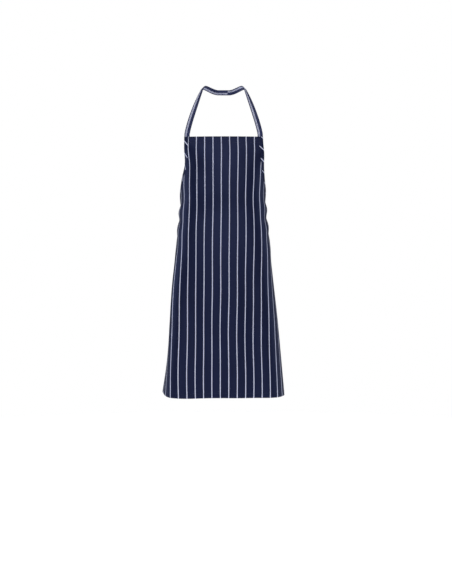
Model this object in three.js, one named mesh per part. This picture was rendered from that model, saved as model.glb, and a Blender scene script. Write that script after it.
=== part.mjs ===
// Butcher's bib apron, in the shape that it takes when it is worn.
//
// Millimetres, +Z up. The wearer looks along -Y, so the front of the apron faces -Y and +X is the wearer's left.
// The origin is on the inner face of the neck halter, at the nape of the neck.
//
// The cloth is described by where it lies on the flat cut: "across" is the distance from the centre line and
// "down" is the distance below the bib's top edge. onWearer() carries a point of the cut to its place in space.

import * as THREE from 'three';

// ---- Cloth, as it is cut
const PANEL_WIDTH = 710;
const PANEL_LENGTH = 965;
const BIB_WIDTH = 292;
const ARMHOLE_DEPTH = 265;
const CLOTH_THICKNESS = 1;

// ---- Bias binding round the armholes
const BINDING_WIDTH = 15;
const BINDING_THICKNESS = 0.8;

// ---- Tape of the halter and the ties
const TAPE_WIDTH = 20;
const TAPE_THICKNESS = 1.5;
const NECK_TAPE_INSET = 16;      // from the bib's corner to the middle of the tape
const NECK_SEWN_LENGTH = 35;     // of the halter's end, behind the bib
const WAIST_SEWN_LENGTH = 30;    // of the tie's end, behind the panel's side corner
const WAIST_STIFF_LENGTH = 8;    // of the tie past the panel's edge, before it flexes
const NAPE_LAP = 30;             // where the two halves of the halter are sewn over each other
const TAIL_LENGTH = 350;
const LOOP_LENGTH = 100;

// ---- Where pieces meet
const SEAM_GAP = 0.6;            // between layers that are sewn together
const TAPE_GAP = 1.4;            // between a flat tape and the curved cloth that it is sewn to
const FOLD_HEIGHT = 6.5;         // of the halter's fold line above the bib's top edge
const FOLD_GAP = 0.8;            // between the two sides of that fold
const FOLD_TAPER = 2;            // length over which the tape thins towards the fold
const FOLD_THICKNESS = 0.4;

// ---- Bar tacks, the dense stitches that hold the tapes
const TACK_WIDTH = 1.6;
const TACK_THICKNESS = 0.6;
const TACK_GAP = 0.5;
const TACK_MARGIN = 2;           // that a tack stays inside the tape's edges

// ---- Knot at the back of the waist
const KNOT = { x: 12, y: 9, z: 11 };   // from its middle to its faces
const KNOT_STANDS_OUT = 3;       // its middle, behind the waist tapes
const KNOT_GAP = 0.3;
const GATHER_WIDTH = 7;          // of a tape where it comes out of the knot
const GATHER_LENGTH = 34;

// ---- Care label, sewn inside the left side seam
const LABEL_WIDTH = 28;
const LABEL_LENGTH = 45;
const LABEL_THICKNESS = 0.4;
const LABEL_DOWN = 60;           // below the armhole's lower end
const LABEL_GAP = 1.4;           // that it stands off the cloth

// ---- The wearer, from the nape: each list runs down from the bib's top edge as [down, value]
const BIB_TOP_Z = -190;
const SHOULDER = { x: 80, y: -58, z: 8 };
const FRONT_Y = [[0, -184], [95, -196], [200, -197], [278, -194], [450, -203], [700, -208], [965, -213]];
const FRONT_HALF_WIDTH = [[0, 146], [95, 98], [200, 90], [450, 117], [700, 141], [965, 165]];
const FRONT_BOW_DEG = [[0, 9], [95, 12], [278, 9], [965, 5]];
const BACK_TURN_AT = [[0, 300], [95, 272], [200, 262], [278, 267], [450, 318], [965, 335]];
const SIDE_TURN = 104;           // length of cloth that turns the wearer's side
const BACK_TURN = 110;           // length of cloth that turns on to the wearer's back
const HEM_CORNER_LIFT = 12;

// ---- Fineness
const COLUMNS = 22;              // from the centre line to the side
const ARMHOLE_ROWS = 20;
const SKIRT_ROWS = 12;
const SIDE_CROWDING = 0.35;      // how much closer the columns are at the side than in the middle

const HALF_WIDTH = PANEL_WIDTH / 2;
const HALF_BIB = BIB_WIDTH / 2;
const BEHIND_CLOTH = CLOTH_THICKNESS / 2 + SEAM_GAP + BINDING_THICKNESS + TAPE_GAP + TAPE_THICKNESS / 2;
const TIE_DOWN = ARMHOLE_DEPTH + TAPE_WIDTH / 2 + 3;

const radians = THREE.MathUtils.degToRad;
const smooth = (t) => THREE.MathUtils.smoothstep(t, 0, 1);
const vector = (x, y, z) => new THREE.Vector3(x, y, z);

// A smooth curve through stations [place, value], which carries on straight past its ends.
function through(stations) {
  const slope = (i, j) => (stations[j][1] - stations[i][1]) / (stations[j][0] - stations[i][0]);
  const last = stations.length - 1;
  const slopes = stations.map((_, i) => slope(Math.max(i - 1, 0), Math.min(i + 1, last)));
  return (place) => {
    if (place <= stations[0][0]) return stations[0][1] + slopes[0] * (place - stations[0][0]);
    if (place >= stations[last][0]) return stations[last][1] + slopes[last] * (place - stations[last][0]);
    const i = stations.findIndex((s) => s[0] > place) - 1;
    const span = stations[i + 1][0] - stations[i][0];
    const t = (place - stations[i][0]) / span;
    const rise = stations[i + 1][1] - stations[i][1];
    const start = slopes[i] * span;
    const end = slopes[i + 1] * span;
    return stations[i][1] + t * (start + t * (3 * rise - 2 * start - end + t * (start + end - 2 * rise)));
  };
}

const frontY = through(FRONT_Y);
const frontHalfWidth = through(FRONT_HALF_WIDTH);
const frontBow = through(FRONT_BOW_DEG);
const backTurnAt = through(BACK_TURN_AT);

// Which way the cloth runs at a distance from the centre line: 0 across the front, 90 degrees straight back
// along the side and 180 degrees across the wearer's back.
function heading(across, down) {
  const flat = frontHalfWidth(down);
  const bow = radians(frontBow(down));
  return bow * Math.min(across / flat, 1)
    + (Math.PI / 2 - bow) * smooth((across - flat) / SIDE_TURN)
    + Math.PI / 2 * smooth((across - backTurnAt(down)) / BACK_TURN);
}

// Where the middle of the cloth lies. The cloth keeps its width, because its heading is followed step by step.
function onWearer(across, down) {
  const side = Math.sign(across) || 1;
  const far = Math.abs(across);
  const steps = Math.max(1, Math.ceil(far / 4));
  const step = far / steps;
  let x = 0;
  let y = frontY(down);
  for (let i = 0; i < steps; i++) {
    const angle = heading((i + 0.5) * step, down);
    x += Math.cos(angle) * step;
    y += Math.sin(angle) * step;
  }
  const outer = smooth((far - 150) / 205);
  const lower = Math.max(0, (down - ARMHOLE_DEPTH) / (PANEL_LENGTH - ARMHOLE_DEPTH));
  return vector(side * x, y, BIB_TOP_Z - down + HEM_CORNER_LIFT * outer * lower);
}

// The way that the outer face of the cloth looks.
function outward(across, down) {
  const reach = 0.5;
  const right = onWearer(across + reach, down).sub(onWearer(across - reach, down));
  const below = onWearer(across, down + reach).sub(onWearer(across, down - reach));
  return below.cross(right).normalize();
}

const offCloth = (across, down, out) =>
  onWearer(across, down).addScaledVector(outward(across, down), out);

// The armhole's edge on the cut, a quarter of an ellipse from the bib's corner (0) to the side corner (1).
function armholeEdge(share) {
  const angle = share * Math.PI / 2;
  const widening = HALF_WIDTH - HALF_BIB;
  const across = HALF_WIDTH - widening * Math.cos(angle);
  const down = ARMHOLE_DEPTH * Math.sin(angle);
  const inward = new THREE.Vector2(-ARMHOLE_DEPTH * Math.cos(angle), widening * Math.sin(angle)).normalize();
  return { across, down, inward };
}

// ---- Solids

function meshOf(points, triangles) {
  const geometry = new THREE.BufferGeometry();
  geometry.setAttribute('position', new THREE.Float32BufferAttribute(points.flatMap((p) => p.toArray()), 3));
  geometry.setIndex(triangles.flat());
  return geometry;
}

// The two triangles of a quad, split along whichever diagonal is nearer to level.
function quad(points, a, b, c, d) {
  const fall = (i, j) => Math.abs(points[i].z - points[j].z);
  return fall(a, c) < fall(b, d) + 1e-6 ? [[a, b, c], [a, c, d]] : [[b, c, d], [b, d, a]];
}

// A solid between rings that each hold the same number of points, in order, anticlockwise seen from the end.
function loft(rings) {
  const size = rings[0].length;
  const points = rings.flat();
  const triangles = [];
  for (let i = 0; i + 1 < rings.length; i++) {
    for (let k = 0; k < size; k++) {
      const [a, b] = [i * size + k, i * size + (k + 1) % size];
      triangles.push(...quad(points, a, b, b + size, a + size));
    }
  }
  const last = (rings.length - 1) * size;
  for (const [a, b, c] of capTriangles(rings[0])) triangles.push([c, b, a]);
  for (const [a, b, c] of capTriangles(rings[rings.length - 1])) {
    triangles.push([last + a, last + b, last + c]);
  }
  return meshOf(points, triangles);
}

// The triangles that close a ring. The ring is flattened along the axis in which it is thinnest.
function capTriangles(ring) {
  const normal = vector(0, 0, 0);
  ring.forEach((p, i) => normal.add(vector(0, 0, 0).crossVectors(p, ring[(i + 1) % ring.length])));
  normal.normalize();
  const side = Math.abs(normal.z) < 0.9 ? vector(0, 0, 1) : vector(1, 0, 0);
  const u = side.cross(normal).normalize();
  const v = normal.clone().cross(u);
  const outline = ring.map((p) => new THREE.Vector2(p.dot(u), p.dot(v)));
  return THREE.ShapeUtils.triangulateShape(outline, []);
}

// A tape along stations { at, along, out, width, thickness }: its middle, its direction and its outer face.
function tape(stations) {
  return loft(stations.map(({ at, along, out, width = TAPE_WIDTH, thickness = TAPE_THICKNESS }) => {
    const wide = vector(0, 0, 0).crossVectors(out, along).normalize().multiplyScalar(width / 2);
    const thick = vector(0, 0, 0).crossVectors(along, wide).normalize().multiplyScalar(thickness / 2);
    const corner = (w, t) => at.clone().addScaledVector(wide, w).addScaledVector(thick, t);
    return [corner(1, 1), corner(-1, 1), corner(-1, -1), corner(1, -1)];
  }));
}

const mirrored = (p) => vector(-p.x, p.y, p.z);

// The same tape on the wearer's other side.
function mirrorStations(stations) {
  return stations.map((s) => ({ ...s, at: mirrored(s.at), along: mirrored(s.along), out: mirrored(s.out) }));
}

const sided = (side, stations) => (side > 0 ? stations : mirrorStations(stations));

// ---- Panel: the bib and the skirt are one piece of cloth

const crowded = (share) => share * (1 + SIDE_CROWDING * (1 - share));

function panel() {
  const cut = [];                // points of the right half of the cut, as [across, down]
  const cells = [];              // quads of that half, as four indices
  const rows = [];
  for (let j = 0; j <= ARMHOLE_ROWS; j++) {
    const edge = armholeEdge(j / ARMHOLE_ROWS);
    const inner = [edge.across + edge.inward.x * BINDING_WIDTH, edge.down + edge.inward.y * BINDING_WIDTH];
    rows.push({ half: j === 0 ? HALF_BIB - BINDING_WIDTH : inner[0], down: j === 0 ? 0 : inner[1], edge });
  }
  const skirtTop = rows[ARMHOLE_ROWS].down;
  for (let j = 1; j <= SKIRT_ROWS; j++) {
    rows.push({ half: HALF_WIDTH, down: skirtTop + (PANEL_LENGTH - skirtTop) * (j / SKIRT_ROWS) ** 1.5 });
  }
  rows.forEach((row, j) => {
    for (let i = 0; i <= COLUMNS; i++) cut.push([row.half * crowded(i / COLUMNS), row.down]);
    if (j === 0) return;
    for (let i = 0; i < COLUMNS; i++) {
      const a = (j - 1) * (COLUMNS + 1) + i;
      cells.push([a, a + 1, a + COLUMNS + 2, a + COLUMNS + 1]);
    }
  });
  const band = cut.length;
  for (let j = 0; j <= ARMHOLE_ROWS; j++) {
    const { edge } = rows[j];
    cut.push([edge.across, edge.down]);
    const inner = j * (COLUMNS + 1) + COLUMNS;
    if (j > 0) cells.push([inner - COLUMNS - 1, band + j - 1, band + j, inner]);
  }
  return thicken(cut, cells);
}

// Both halves of a sheet of cloth with its thickness, from the right half of its cut.
function thicken(cut, cells) {
  const points = [];
  const layer = cut.length * 2;
  for (const out of [CLOTH_THICKNESS / 2, -CLOTH_THICKNESS / 2]) {
    for (const side of [1, -1]) {
      for (const [across, down] of cut) {
        points.push(across === 0 ? centred(down, out) : offCloth(side * across, down, out));
      }
    }
  }
  const seam = (index) => (cut[index][0] === 0 ? index : index + cut.length);
  const faces = cells.flatMap(([a, b, c, d]) => [
    ...quad(points, d, c, b, a),
    ...quad(points, seam(a), seam(b), seam(c), seam(d)),
  ]);
  const triangles = faces.flatMap(([a, b, c]) => [[a, b, c], [c + layer, b + layer, a + layer]]);
  const used = new Set(faces.flatMap(([a, b, c]) => [`${a} ${b}`, `${b} ${c}`, `${c} ${a}`]));
  for (const edge of used) {
    const [a, b] = edge.split(' ').map(Number);
    if (!used.has(`${b} ${a}`)) triangles.push([b, a, a + layer], [b, a + layer, b + layer]);
  }
  return compact(points, triangles);
}

const centred = (down, out) => {
  const point = offCloth(0, down, out);
  return vector(0, point.y, point.z);
};

// Drops the points that no triangle uses.
function compact(points, triangles) {
  const place = new Map([...new Set(triangles.flat())].map((index, i) => [index, i]));
  return meshOf([...place.keys()].map((i) => points[i]), triangles.map((t) => t.map((i) => place.get(i))));
}

// ---- Armhole binding: a bias strip folded over the edge, with a leaf on each face of the cloth

function armholeBinding(side) {
  const inside = CLOTH_THICKNESS / 2 + SEAM_GAP;
  const outside = inside + BINDING_THICKNESS;
  const width = BINDING_WIDTH;
  const section = [
    [width, outside], [-outside, outside], [-outside, -outside], [width, -outside],
    [width, -inside], [-inside, -inside], [-inside, inside], [width, inside],
  ];
  const rings = [];
  for (let j = 0; j <= ARMHOLE_ROWS; j++) {
    const edge = armholeEdge(j / ARMHOLE_ROWS);
    const ring = section.map(([inward, out]) => offCloth(
      side * (edge.across + edge.inward.x * inward), Math.max(edge.down + edge.inward.y * inward, 0), out));
    rings.push(side > 0 ? ring.reverse() : ring);
  }
  return loft(rings);
}

// ---- Halter

const NECK_ACROSS = HALF_BIB - NECK_TAPE_INSET;
const bibCorner = offCloth(NECK_ACROSS, 0, -BEHIND_CLOTH);
const foldLine = { y: bibCorner.y, z: BIB_TOP_Z + FOLD_HEIGHT };

// The end of the halter that is sewn behind the bib, up to the fold line.
function sewnNeckEnd(side) {
  const stations = [];
  for (const down of [NECK_SEWN_LENGTH, NECK_SEWN_LENGTH / 2, 0]) {
    stations.push({
      at: offCloth(NECK_ACROSS, down, -BEHIND_CLOTH), along: vector(0, 0, 1), out: outward(NECK_ACROSS, down),
    });
  }
  const straight = { along: vector(0, 0, 1), out: vector(0, -1, 0) };
  const top = foldLine.z - FOLD_GAP / 2;
  stations.push({ at: vector(bibCorner.x, foldLine.y, top - FOLD_TAPER), ...straight });
  stations.push({ at: vector(bibCorner.x, foldLine.y, top), ...straight, thickness: FOLD_THICKNESS });
  return tape(sided(side, stations));
}

// Half of the halter: up from the fold line, over the shoulder and round to the nape.
function neckStrap(side, behind) {
  const fold = vector(bibCorner.x, foldLine.y, foldLine.z + FOLD_GAP / 2);
  const start = fold.clone().add(vector(0, 0, FOLD_TAPER));
  const shoulder = vector(SHOULDER.x, SHOULDER.y, SHOULDER.z);
  const nape = vector(NAPE_LAP * 2 / 3, behind, 0);
  const lapEnd = vector(-NAPE_LAP / 2, behind, 0);
  const route = new THREE.CurvePath();
  route.add(new THREE.CubicBezierCurve3(
    start, start.clone().add(vector(1, 4, 42)), shoulder.clone().add(vector(14, -54, -30)), shoulder));
  route.add(new THREE.CubicBezierCurve3(
    shoulder, shoulder.clone().add(vector(-6, 25, 14)), nape.clone().add(vector(24, 0, 0)), nape));
  route.add(new THREE.LineCurve3(nape, lapEnd));
  const faces = new THREE.CatmullRomCurve3([
    vector(0, -1, 0), vector(0.1, -0.95, 0.25), vector(0.3, -0.75, 0.6), vector(0.48, -0.2, 0.86),
    vector(0.4, 0.6, 0.7), vector(0, 1, 0),
  ]);
  const length = route.getLength();
  const lapStart = 1 - nape.distanceTo(lapEnd) / length;
  const steps = Math.round(length / 10);
  const stations = [{
    at: fold, along: vector(0, 0, 1), out: vector(0, -1, 0), thickness: FOLD_THICKNESS,
  }];
  for (let i = 0; i <= steps; i++) {
    const share = i / steps;
    stations.push({
      at: route.getPointAt(share),
      along: i === 0 ? vector(0, 0, 1) : route.getTangentAt(share),
      out: faces.getPoint(Math.min(share / lapStart, 1)),
    });
  }
  return tape(sided(side, stations));
}

// ---- Waist ties

const TIE_START = HALF_WIDTH - WAIST_SEWN_LENGTH;
const TIE_FLEX = HALF_WIDTH + WAIST_STIFF_LENGTH;
const TIE_STEP = 8;
const tieMiddle = (across) => offCloth(across, TIE_DOWN, -BEHIND_CLOTH);
const backOfWaist = tieMiddle(HALF_WIDTH + 40);
const knotMiddle = vector(0, backOfWaist.y + KNOT_STANDS_OUT, backOfWaist.z);

const tieStation = (across, thickness = TAPE_THICKNESS) => ({
  at: tieMiddle(across), along: vector(-1, 0, 0), out: outward(across, TIE_DOWN), thickness,
});

// The end of a tie that is sewn behind the panel's side corner, up to the seam that it flexes at.
function sewnTieEnd(side) {
  const stations = [0, 1, 2, 3, 4].map((i) => TIE_START + i * TIE_STEP).map((a) => tieStation(a));
  stations.push(tieStation(TIE_FLEX - FOLD_GAP / 2 - FOLD_TAPER));
  stations.push(tieStation(TIE_FLEX - FOLD_GAP / 2, FOLD_THICKNESS));
  return tape(sided(side, stations));
}

// The rest of the tie, across the wearer's back to the knot.
function waistTie(side) {
  const start = TIE_FLEX + FOLD_GAP / 2;
  const stations = [tieStation(start, FOLD_THICKNESS)];
  for (let across = start + FOLD_TAPER; tieMiddle(across).x > KNOT.x + TIE_STEP; across += TIE_STEP) {
    stations.push(tieStation(across));
  }
  const end = vector(KNOT.x + KNOT_GAP, backOfWaist.y, backOfWaist.z);
  stations.push({ at: end, along: vector(-1, 0, 0), out: vector(0, 1, 0) });
  return tape(sided(side, stations));
}

function bowKnot() {
  const geometry = new THREE.IcosahedronGeometry(1, 3).scale(KNOT.x, KNOT.y, KNOT.z);
  return geometry.translate(knotMiddle.x, knotMiddle.y, knotMiddle.z);
}

// How wide a tape is at a distance from the knot, which gathers it.
const gathered = (from) => THREE.MathUtils.lerp(GATHER_WIDTH, TAPE_WIDTH, smooth(from / GATHER_LENGTH));

// A loop of the bow, which goes out from the knot, turns and comes back. It hangs a little.
function bowLoop(side) {
  const root = KNOT.x + KNOT_GAP;
  const far = root + LOOP_LENGTH;
  const route = new THREE.CatmullRomCurve3([
    vector(root, 2, 0), vector(root + 0.3 * LOOP_LENGTH, 2.4, -5), vector(root + 0.7 * LOOP_LENGTH, 3, -18),
    vector(far - 5, 7, -27), vector(far, 13, -30), vector(far - 6, 19, -30),
    vector(root + 0.7 * LOOP_LENGTH, 21, -22), vector(root + 0.3 * LOOP_LENGTH, 15, -8), vector(root, 6, 0),
  ]).getSpacedPoints(34);
  const stations = route.map((p, i) => {
    const before = route[Math.max(i - 1, 0)];
    const after = route[Math.min(i + 1, route.length - 1)];
    const along = after.clone().sub(before).normalize();
    const up = vector(0.15, 0, 1);
    return {
      at: p.clone().add(knotMiddle), along, out: vector(0, 0, 0).crossVectors(along, up).normalize(),
      width: gathered(p.x - root),
    };
  });
  return tape(sided(side, stations));
}

// A tail of the bow, hanging from the knot.
function tieTail(side) {
  const root = KNOT.z + KNOT_GAP / 2;
  const route = new THREE.CubicBezierCurve3(
    vector(GATHER_WIDTH / 2 + SEAM_GAP, 0, -root), vector(22, 0, -root - 0.12 * TAIL_LENGTH),
    vector(36, 1, -root - 0.6 * TAIL_LENGTH), vector(32, 2, -root - 0.99 * TAIL_LENGTH));
  const steps = 24;
  const stations = [];
  for (let i = 0; i <= steps; i++) {
    const at = route.getPointAt(i / steps);
    stations.push({
      at: at.clone().add(knotMiddle), along: route.getTangentAt(i / steps), out: vector(0, 1, 0),
      width: gathered(-root - at.z),
    });
  }
  return tape(sided(side, stations));
}

// ---- Bar tacks and label

// A short bar of stitches, nearly along "long", on a face that looks along "out".
function barTack(at, long, out) {
  const geometry = new THREE.BoxGeometry(TACK_LENGTH, TACK_WIDTH, TACK_THICKNESS);
  const across = vector(0, 0, 0).crossVectors(out, long).normalize();
  const along = vector(0, 0, 0).crossVectors(across, out).normalize();
  geometry.applyMatrix4(new THREE.Matrix4().makeBasis(along, across, out));
  return geometry.translate(at.x, at.y, at.z);
}

const TACK_LENGTH = TAPE_WIDTH - 2 * TACK_MARGIN;
const TACK_OFF_TAPE = TAPE_THICKNESS / 2 + TACK_GAP + TACK_THICKNESS / 2;

// Across the halter's sewn end, behind the bib.
function neckTack(side) {
  const down = NECK_SEWN_LENGTH / 2;
  const out = outward(side * NECK_ACROSS, down);
  const at = offCloth(side * NECK_ACROSS, down, -BEHIND_CLOTH - TACK_OFF_TAPE);
  return barTack(at, vector(1, 0, 0), out);
}

// Down the tie's sewn end, behind the panel's side corner.
function waistTack(side) {
  const across = side * (TIE_START + 2 * TIE_STEP);
  const out = outward(across, TIE_DOWN);
  const at = offCloth(across, TIE_DOWN, -BEHIND_CLOTH - TACK_OFF_TAPE);
  return barTack(at, vector(0, 0, 1), out);
}

const INNER_LAP = TAPE_THICKNESS / 2;
const OUTER_LAP = INNER_LAP + TAPE_THICKNESS + SEAM_GAP;

// One of the two tacks through the halter's lap at the nape.
function napeTack(side) {
  const at = vector(side * (NAPE_LAP / 2 - 2 * TACK_MARGIN), OUTER_LAP + TACK_OFF_TAPE, 0);
  return barTack(at, vector(0, 0, 1), vector(0, 1, 0));
}

// The folded care label, held inside the left side hem.
function careLabel() {
  const rows = 4;
  const rings = [];
  const top = ARMHOLE_DEPTH + LABEL_DOWN;
  for (let j = 0; j <= rows; j++) {
    const down = top + LABEL_LENGTH * j / rows;
    const near = CLOTH_THICKNESS / 2 + LABEL_GAP;
    const far = near + LABEL_THICKNESS;
    const columns = [0, 1 / 3, 2 / 3, 1].map((share) => HALF_WIDTH - share * LABEL_WIDTH);
    const outerSide = columns.map((across) => offCloth(across, down, -near));
    const innerSide = columns.map((across) => offCloth(across, down, -far)).reverse();
    rings.push([...outerSide, ...innerSide]);
  }
  return loft(rings);
}

// ---- Materials

const stripedTwill = new THREE.MeshStandardMaterial({ color: 0x1d2547, roughness: 0.9, metalness: 0 });
const stripedTape = new THREE.MeshStandardMaterial({ color: 0x222947, roughness: 0.9, metalness: 0 });
const navyThread = new THREE.MeshStandardMaterial({ color: 0x2a3158, roughness: 0.8, metalness: 0 });
const labelSatin = new THREE.MeshStandardMaterial({ color: 0xf0f0ec, roughness: 0.6, metalness: 0 });

// ---- Assembly

const apron = new THREE.Group();

function add(name, geometry, material) {
  const mesh = new THREE.Mesh(geometry, material);
  mesh.name = name;
  apron.add(mesh);
}

add('apron_panel', panel(), stripedTwill);
add('waist_bow_knot', bowKnot(), stripedTape);
add('care_label', careLabel(), labelSatin);
for (const [side, hand] of [[1, 'left'], [-1, 'right']]) {
  add(`armhole_binding_${hand}`, armholeBinding(side), stripedTwill);
  add(`neck_strap_${hand}`, neckStrap(side, side > 0 ? OUTER_LAP : INNER_LAP), stripedTape);
  add(`neck_strap_end_${hand}`, sewnNeckEnd(side), stripedTape);
  add(`neck_bar_tack_${hand}`, neckTack(side), navyThread);
  add(`nape_bar_tack_${hand}`, napeTack(side), navyThread);
  add(`waist_tie_${hand}`, waistTie(side), stripedTape);
  add(`waist_tie_end_${hand}`, sewnTieEnd(side), stripedTape);
  add(`waist_bar_tack_${hand}`, waistTack(side), navyThread);
  add(`waist_bow_loop_${hand}`, bowLoop(side), stripedTape);
  add(`waist_tie_tail_${hand}`, tieTail(side), stripedTape);
}

export default apron;
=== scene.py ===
"""A butcher's bib apron as it is worn: striped twill, bias-bound armholes, a sewn halter and a bow behind."""

import math

import bpy
import numpy as np
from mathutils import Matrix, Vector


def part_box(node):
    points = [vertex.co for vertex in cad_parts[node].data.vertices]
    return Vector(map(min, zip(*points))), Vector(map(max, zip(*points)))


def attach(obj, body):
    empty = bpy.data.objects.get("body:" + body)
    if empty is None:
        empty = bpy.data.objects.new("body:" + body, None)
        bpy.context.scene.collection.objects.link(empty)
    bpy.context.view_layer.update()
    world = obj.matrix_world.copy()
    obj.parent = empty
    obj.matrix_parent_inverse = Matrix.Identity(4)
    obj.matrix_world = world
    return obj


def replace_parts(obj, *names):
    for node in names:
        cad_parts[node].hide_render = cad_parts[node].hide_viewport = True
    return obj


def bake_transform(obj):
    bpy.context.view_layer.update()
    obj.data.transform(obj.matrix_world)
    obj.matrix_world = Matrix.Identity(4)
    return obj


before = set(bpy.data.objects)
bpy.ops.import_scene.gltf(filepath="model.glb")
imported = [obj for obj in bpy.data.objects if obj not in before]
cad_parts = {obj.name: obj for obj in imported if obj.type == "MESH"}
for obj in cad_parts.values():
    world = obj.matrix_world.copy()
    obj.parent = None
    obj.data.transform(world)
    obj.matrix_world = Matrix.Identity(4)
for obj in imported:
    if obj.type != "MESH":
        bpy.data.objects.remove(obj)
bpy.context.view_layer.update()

bl_info = {
    "name": "Butcher's apron",
    "version": (1, 0, 0),
    "blender": (4, 5, 0),
    "location": "3D View > Sidebar > Apron",
    "description": "Makes a striped bib apron piece by piece on its packed frame",
    "category": "Object",
}

SIDES = ((1, "left"), (-1, "right"))
MM = 0.001

# The wearer, from the nape. Each list runs down from the bib's top edge as (down, value). FRONT_Y is the
# cloth's front. A HALF is how far from the centre line the cloth starts to turn round the wearer's side, and
# a TURN is the cloth that the turn takes. FRONT_BOW_DEG is how much the front curves before it. From
# BACK_TURN_AT the cloth turns on behind the wearer, and BACK_TURN is the cloth that this takes.
BIB_TOP_Z = -0.19
FRONT_Y = (
    (0, -0.184), (0.095, -0.196), (0.2, -0.197), (0.278, -0.194), (0.45, -0.203), (0.7, -0.208),
    (0.965, -0.213))
LEFT_HALF = (
    (0, 0.152), (0.05, 0.1233), (0.095, 0.0863), (0.15, 0.0671), (0.2, 0.0634), (0.26, 0.0663),
    (0.32, 0.0711), (0.45, 0.084), (0.7, 0.1096), (0.965, 0.1349))
RIGHT_HALF = (
    (0, 0.128), (0.05, 0.0976), (0.095, 0.0784), (0.15, 0.0769), (0.22, 0.07), (0.32, 0.0755),
    (0.45, 0.0858), (0.7, 0.1112), (0.85, 0.123), (0.965, 0.1391))
FRONT_BOW_DEG = ((0, 9), (0.095, 12), (0.278, 9), (0.965, 5))
BACK_TURN_AT = ((0, 0.3), (0.095, 0.27), (0.2, 0.256), (0.278, 0.261), (0.45, 0.312), (0.965, 0.329))
LEFT_TURN = (
    (0, 0.112), (0.05, 0.122), (0.095, 0.14), (0.15, 0.16), (0.2, 0.166), (0.32, 0.166), (0.45, 0.162),
    (0.7, 0.156), (0.965, 0.15))
RIGHT_TURN = (
    (0, 0.106), (0.05, 0.112), (0.095, 0.13), (0.15, 0.15), (0.22, 0.162), (0.32, 0.166), (0.45, 0.164),
    (0.7, 0.16), (0.85, 0.158), (0.965, 0.156))
BACK_TURN = 0.11
# How far the folds stand out, and how far down the waist ties pull at the sides.
LONG_FOLD = 0.0042
SHORT_FOLD = 0.0022
BIB_WAVE = 0.0022
TIE_PULL = 0.0028
TIE_DOWN = 0.278
# How far the skirt's foot is lifted as it hangs: all along, and then towards the left and right sides.
HEM_LIFT = 0.002
LEFT_HEM_LIFT = 0.009
RIGHT_HEM_LIFT = 0.016
RIGHT_HEM_DIP = 0.003
SHOULDER = np.array((0.08, -0.058, 0.008))  # where the left neck tape lies on the shoulder
FOLD_RISE = 0.0072  # from the bib's edge to where the neck tape is free of it
KNOT = np.array((0.012, 0.009, 0.011))  # half its width, depth and height
BEHIND_CLOTH = 0.0039  # from the middle of the cloth to the middle of a tape sewn behind it
HEM_LAYER = 0.00068  # how much a second hem lifts what crosses it
BINDING_LAYER = 0.00072  # how much a hem lifts the binding that crosses it
BINDING_START = {1: 0.0263, -1: 0.0166}  # where along its own stripes each binding starts
NAPE_BEHIND = {1: 0.00285, -1: 0.00075}  # how far behind the nape: the left tape laps over the right
BIB_Y = -0.19  # about where the bib's face is
TAPE_STRIPES = ((4.8, 1.9), (7.9, 1.8))  # each one's place from the tape's edge and its width, in millimetres


# ---- Settings

class ClothSizes(bpy.types.PropertyGroup):
    """How the cloth is cut and hemmed."""

    panel_width: bpy.props.FloatProperty(
        name="Panel width", description="Width of the cut at the skirt", default=0.71, unit="LENGTH")
    panel_length: bpy.props.FloatProperty(
        name="Panel length", description="From the bib's top edge to the hem", default=0.965, unit="LENGTH")
    bib_width: bpy.props.FloatProperty(
        name="Bib width", description="Width of the bib's top edge", default=0.292, unit="LENGTH")
    armhole_depth: bpy.props.FloatProperty(
        name="Armhole depth", description="From the bib's top edge to the side corner",
        default=0.265, unit="LENGTH")
    thickness: bpy.props.FloatProperty(
        name="Cloth thickness", description="Thickness of one layer", default=0.0006, unit="LENGTH")
    binding_width: bpy.props.FloatProperty(
        name="Binding width", description="Width of the bias binding on each face",
        default=0.015, unit="LENGTH")
    top_hem: bpy.props.FloatProperty(
        name="Top hem", description="Depth of the hem at the bib's top", default=0.024, unit="LENGTH")
    bottom_hem: bpy.props.FloatProperty(
        name="Bottom hem", description="Depth of the hem at the foot", default=0.018, unit="LENGTH")
    side_hem: bpy.props.FloatProperty(
        name="Side hem", description="Depth of the hems down the sides", default=0.011, unit="LENGTH")
    mesh_step: bpy.props.FloatProperty(
        name="Mesh step", description="Spacing of the panel's mesh", default=0.0045, unit="LENGTH")


class TapeSizes(bpy.types.PropertyGroup):
    """The folded tape of the halter and the waist ties."""

    width: bpy.props.FloatProperty(
        name="Width", description="Width of the folded tape", default=0.02, unit="LENGTH")
    thickness: bpy.props.FloatProperty(
        name="Thickness", description="Thickness of the folded tape", default=0.0014, unit="LENGTH")
    inset: bpy.props.FloatProperty(
        name="Inset", description="From the bib's corner to the middle of the neck tape",
        default=0.0095, unit="LENGTH")
    neck_sewn: bpy.props.FloatProperty(
        name="Sewn at the bib", description="Length of neck tape behind the bib",
        default=0.035, unit="LENGTH")
    waist_sewn: bpy.props.FloatProperty(
        name="Sewn at the waist", description="Length of tie behind the panel", default=0.03, unit="LENGTH")
    lap: bpy.props.FloatProperty(
        name="Nape lap", description="Overlap of the two neck tapes at the nape", default=0.03, unit="LENGTH")
    loop: bpy.props.FloatProperty(
        name="Bow loop", description="Length of each loop of the bow", default=0.1, unit="LENGTH")
    tail: bpy.props.FloatProperty(
        name="Tail", description="Length of each hanging end of the bow", default=0.35, unit="LENGTH")
    gathered: bpy.props.FloatProperty(
        name="Gathered width", description="Width of a tape where the knot gathers it",
        default=0.008, unit="LENGTH")


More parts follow.
